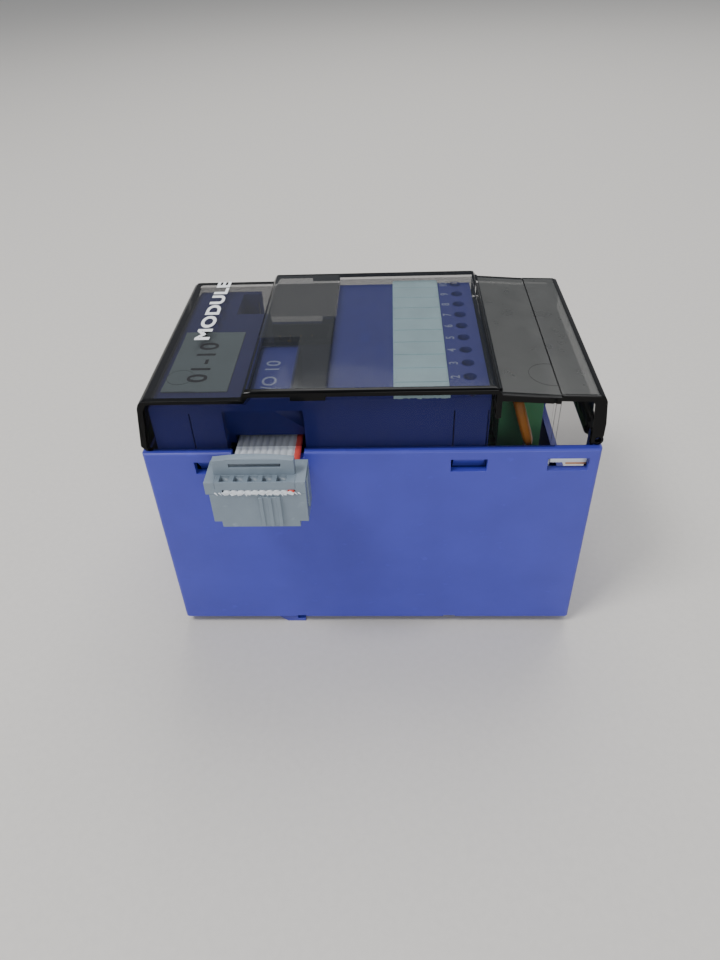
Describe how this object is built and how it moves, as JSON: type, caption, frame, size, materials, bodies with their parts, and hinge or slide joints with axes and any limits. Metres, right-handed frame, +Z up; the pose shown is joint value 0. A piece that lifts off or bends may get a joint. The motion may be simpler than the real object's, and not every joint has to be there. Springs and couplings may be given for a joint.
{
  "type": "plc module",
  "caption": "Rail-mounted PLC I/O module: blue open-top housing, hinged smoked hood over lamps and screw clamps, and a bus plug on a short flat cable.",
  "frame": {"origin": "centre of the footprint, on the surface the rail hooks and latch feet stand on", "axes": "+X across the front to the right, +Y along the rail away from the front, +Z up through the hood"},
  "size_m": [0.0865, 0.0651, 0.0614],
  "materials": {
    "housing_blue": "fine satin moulded ABS",
    "panel_blue": "satin moulded ABS",
    "smoked": "smoked clear polycarbonate",
    "board_green": "solder-masked glass epoxy board",
    "brass": "bright turned brass",
    "steel": "zinc-plated steel",
    "spring_steel": "drawn spring wire",
    "black_plastic": "black glass-filled nylon",
    "label_white": "printed white plastic strip",
    "label_grey": "printed paper label",
    "lamp_red": "tinted epoxy lamps",
    "cable_grey": "PVC flat cable, one edge conductor red",
    "plug_grey": "light grey polyester",
    "clamp_green": "green polyamide",
    "film_orange": "dipped epoxy",
    "ivory_plastic": "ivory moulded epoxy",
    "dark_sleeve": "shrunk sleeve over aluminium can",
    "coil": "ferrite with a black base",
    "nickel": "nickel-plated strip",
    "copper": "copper-plated contact",
    "gold": "gold-plated contacts",
    "latch_black": "dark polyamide"
  },
  "bodies": {
    "housing": {"base": "housing_blue", "upper_block": "panel_blue", "main_pcb": "board_green", "io_pcb": "board_green", "hex_spacers": "brass", "board_screws": "steel", "board_link": "black_plastic", "led_pcb": "board_green", "leds": "lamp_red", "led_header": "black_plastic", "label_strip": "label_white", "marker_label": "label_grey", "bus_header": "black_plastic", "bus_pins": "gold", "ribbon_socket": "black_plastic", "ribbon": "cable_grey", "terminal_block": "clamp_green", "terminal_bars": "brass", "film_capacitor": "film_orange", "optocouplers": "ivory_plastic", "bus_controller": "black_plastic", "power_coil": "coil", "electrolytic_caps": "dark_sleeve", "regulator": "black_plastic", "earth_strip": "nickel", "earth_contact": "copper", "hinge_pin_front": "steel", "hinge_pin_back": "steel", "latch_spring": "spring_steel"},
    "hood": {"hood": "smoked"},
    "rail_latch": {"din_latch": "latch_black"},
    "bus_plug": {"plug_socket": "plug_grey", "plug_cover": "plug_grey", "strain_relief": "plug_grey", "plug_contacts": "gold"},
    "clamp_screw_1": {"screw_1": "steel"},
    "clamp_screw_2": {"screw_2": "steel"},
    "clamp_screw_3": {"screw_3": "steel"},
    "clamp_screw_4": {"screw_4": "steel"},
    "clamp_screw_5": {"screw_5": "steel"},
    "clamp_screw_6": {"screw_6": "steel"},
    "clamp_screw_7": {"screw_7": "steel"},
    "clamp_screw_8": {"screw_8": "steel"},
    "clamp_cage_1": {"cage_1": "steel"},
    "clamp_cage_2": {"cage_2": "steel"},
    "clamp_cage_3": {"cage_3": "steel"},
    "clamp_cage_4": {"cage_4": "steel"},
    "clamp_cage_5": {"cage_5": "steel"},
    "clamp_cage_6": {"cage_6": "steel"},
    "clamp_cage_7": {"cage_7": "steel"},
    "clamp_cage_8": {"cage_8": "steel"}
  },
  "joints": [
    {"name": "hood_hinge", "type": "hinge", "parent": "housing", "child": "hood", "pos_m": [0.0423, 0, 0.0497], "axis": [0, 1, 0], "range_deg": [0, 90]},
    {"name": "rail_latch_slide", "type": "slide", "parent": "housing", "child": "rail_latch", "axis": [1, 0, 0], "range_m": [0, 0.004], "stiffness_N_per_m": 400, "springref_m": -0.002, "deforming": ["latch_spring"]},
    {"name": "plug_on_cable", "type": "hinge", "parent": "housing", "child": "bus_plug", "pos_m": [-0.01915, -0.0286, 0.0481], "axis": [1, 0, 0], "range_deg": [-50, 20], "stiffness_Nm_per_rad": 0.02, "springref_deg": -0.26, "deforming": ["ribbon"]},
    {"name": "screw_1_turn", "type": "hinge", "parent": "housing", "child": "clamp_screw_1", "pos_m": [0.0288, 0.02182, 0.054], "axis": [0, 0, 1], "range_deg": [-1800, 0]},
    {"name": "screw_2_turn", "type": "hinge", "parent": "housing", "child": "clamp_screw_2", "pos_m": [0.0288, 0.01674, 0.054], "axis": [0, 0, 1], "range_deg": [-1800, 0]},
    {"name": "screw_3_turn", "type": "hinge", "parent": "housing", "child": "clamp_screw_3", "pos_m": [0.0288, 0.01166, 0.054], "axis": [0, 0, 1], "range_deg": [-1800, 0]},
    {"name": "screw_4_turn", "type": "hinge", "parent": "housing", "child": "clamp_screw_4", "pos_m": [0.0288, 0.00658, 0.054], "axis": [0, 0, 1], "range_deg": [-1800, 0]},
    {"name": "screw_5_turn", "type": "hinge", "parent": "housing", "child": "clamp_screw_5", "pos_m": [0.0288, 0.0015, 0.054], "axis": [0, 0, 1], "range_deg": [-1800, 0]},
    {"name": "screw_6_turn", "type": "hinge", "parent": "housing", "child": "clamp_screw_6", "pos_m": [0.0288, -0.00358, 0.054], "axis": [0, 0, 1], "range_deg": [-1800, 0]},
    {"name": "screw_7_turn", "type": "hinge", "parent": "housing", "child": "clamp_screw_7", "pos_m": [0.0288, -0.00866, 0.054], "axis": [0, 0, 1], "range_deg": [-1800, 0]},
    {"name": "screw_8_turn", "type": "hinge", "parent": "housing", "child": "clamp_screw_8", "pos_m": [0.0288, -0.01374, 0.054], "axis": [0, 0, 1], "range_deg": [-1800, 0]},
    {"name": "cage_1_rise", "type": "slide", "parent": "housing", "child": "clamp_cage_1", "axis": [0, 0, 1], "range_m": [0, 0.0025]},
    {"name": "cage_2_rise", "type": "slide", "parent": "housing", "child": "clamp_cage_2", "axis": [0, 0, 1], "range_m": [0, 0.0025]},
    {"name": "cage_3_rise", "type": "slide", "parent": "housing", "child": "clamp_cage_3", "axis": [0, 0, 1], "range_m": [0, 0.0025]},
    {"name": "cage_4_rise", "type": "slide", "parent": "housing", "child": "clamp_cage_4", "axis": [0, 0, 1], "range_m": [0, 0.0025]},
    {"name": "cage_5_rise", "type": "slide", "parent": "housing", "child": "clamp_cage_5", "axis": [0, 0, 1], "range_m": [0, 0.0025]},
    {"name": "cage_6_rise", "type": "slide", "parent": "housing", "child": "clamp_cage_6", "axis": [0, 0, 1], "range_m": [0, 0.0025]},
    {"name": "cage_7_rise", "type": "slide", "parent": "housing", "child": "clamp_cage_7", "axis": [0, 0, 1], "range_m": [0, 0.0025]},
    {"name": "cage_8_rise", "type": "slide", "parent": "housing", "child": "clamp_cage_8", "axis": [0, 0, 1], "range_m": [0, 0.0025]}
  ],
  "couplings": [
    {"joint": "screw_1_turn", "follows": "cage_1_rise", "rad_per_m": -12566},
    {"joint": "screw_2_turn", "follows": "cage_2_rise", "rad_per_m": -12566},
    {"joint": "screw_3_turn", "follows": "cage_3_rise", "rad_per_m": -12566},
    {"joint": "screw_4_turn", "follows": "cage_4_rise", "rad_per_m": -12566},
    {"joint": "screw_5_turn", "follows": "cage_5_rise", "rad_per_m": -12566},
    {"joint": "screw_6_turn", "follows": "cage_6_rise", "rad_per_m": -12566},
    {"joint": "screw_7_turn", "follows": "cage_7_rise", "rad_per_m": -12566},
    {"joint": "screw_8_turn", "follows": "cage_8_rise", "rad_per_m": -12566}
  ]
}
